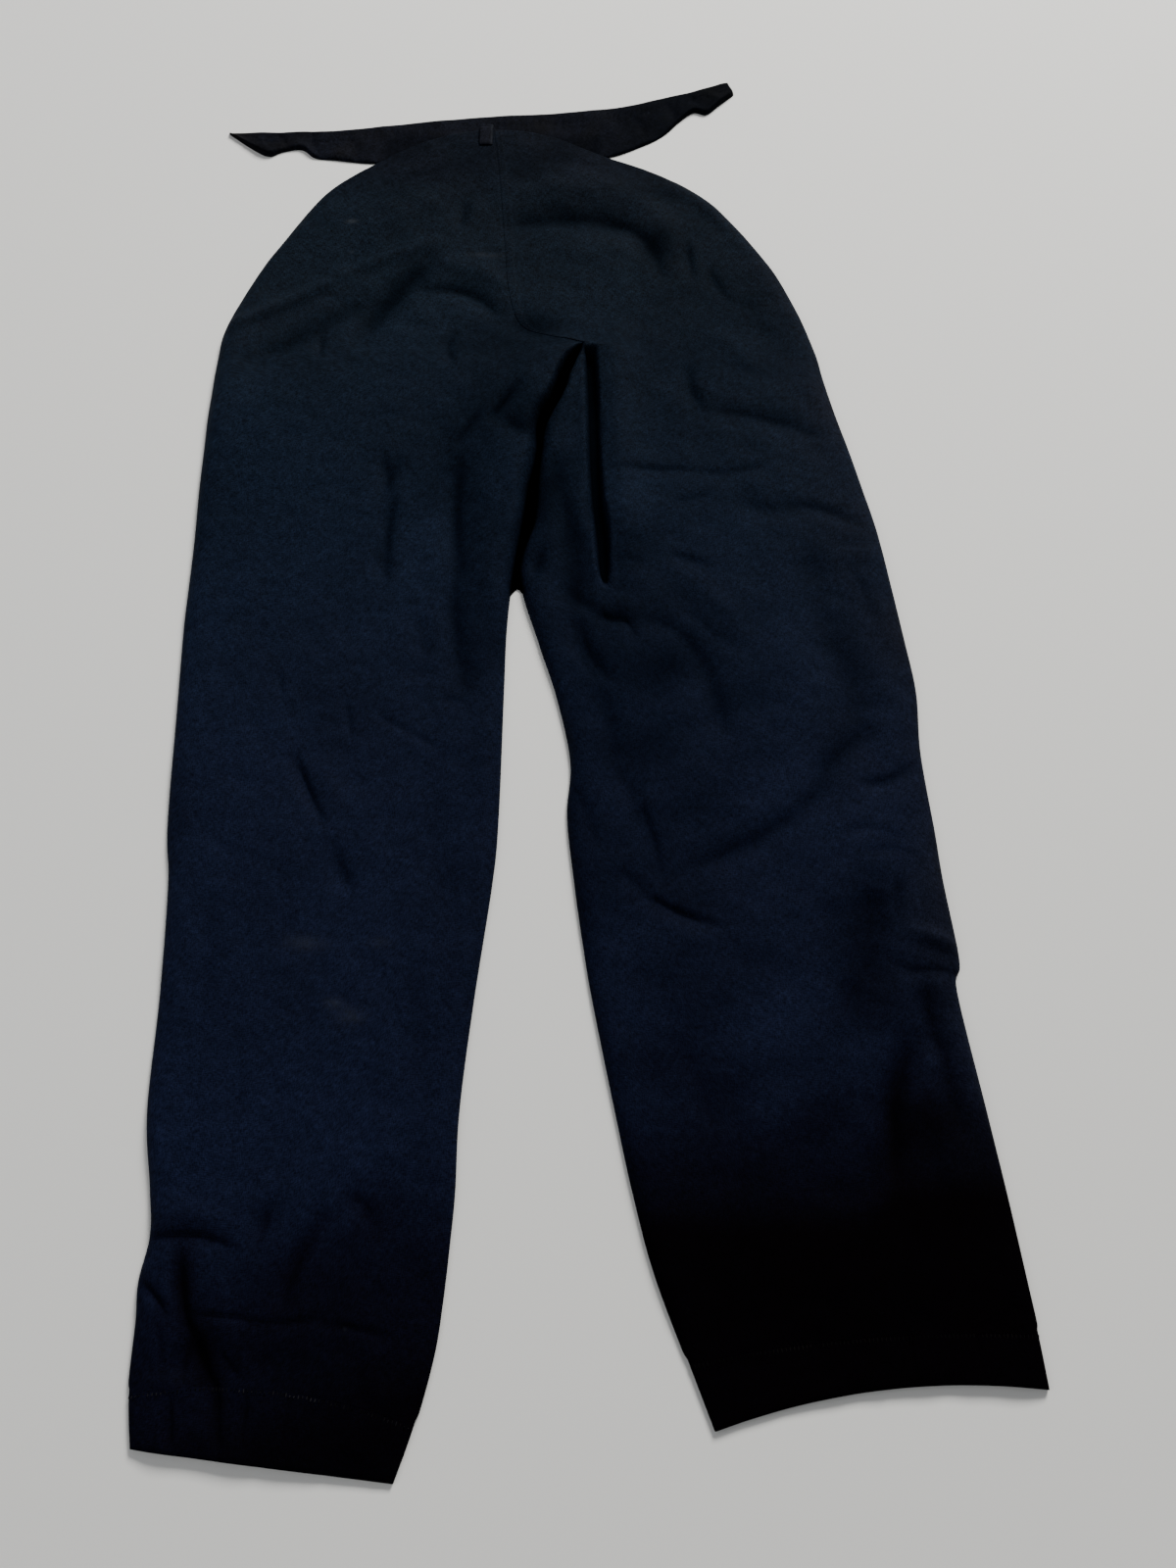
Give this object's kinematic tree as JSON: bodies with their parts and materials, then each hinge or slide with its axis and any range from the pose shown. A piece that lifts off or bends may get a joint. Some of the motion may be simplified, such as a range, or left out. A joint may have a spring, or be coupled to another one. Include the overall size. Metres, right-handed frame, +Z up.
{
  "type": "track pants",
  "caption": "Long plain-woven elastic-waist trousers laid flat front side up, with wide straight legs, stitched hem casings, a free-ended back waist strip and a small blank tab.",
  "frame": {"origin": "bottom centre of the garment's box, on the surface it lies on", "axes": "+Y from the hems to the waist, +X to the picture's right, +Z up from the surface"},
  "size_m": [0.575, 1.072, 0.0179],
  "materials": {
    "leg_cloth": "matte plain weave, very dark navy",
    "hem_cloth": "matte plain weave, near-black navy, stitched casing",
    "casing_cloth": "matte, black-brown navy, slightly gathered",
    "tab_cloth": "matte woven tab, dark grey, bare"
  },
  "bodies": {
    "root": {"front_left": "leg_cloth", "front_right": "leg_cloth", "back_left": "leg_cloth", "back_right": "leg_cloth", "waist_strip": "casing_cloth", "hem_front_left": "hem_cloth", "hem_back_left": "hem_cloth", "hem_front_right": "hem_cloth", "hem_back_right": "hem_cloth", "centre_label": "tab_cloth"}
  },
  "joints": []
}
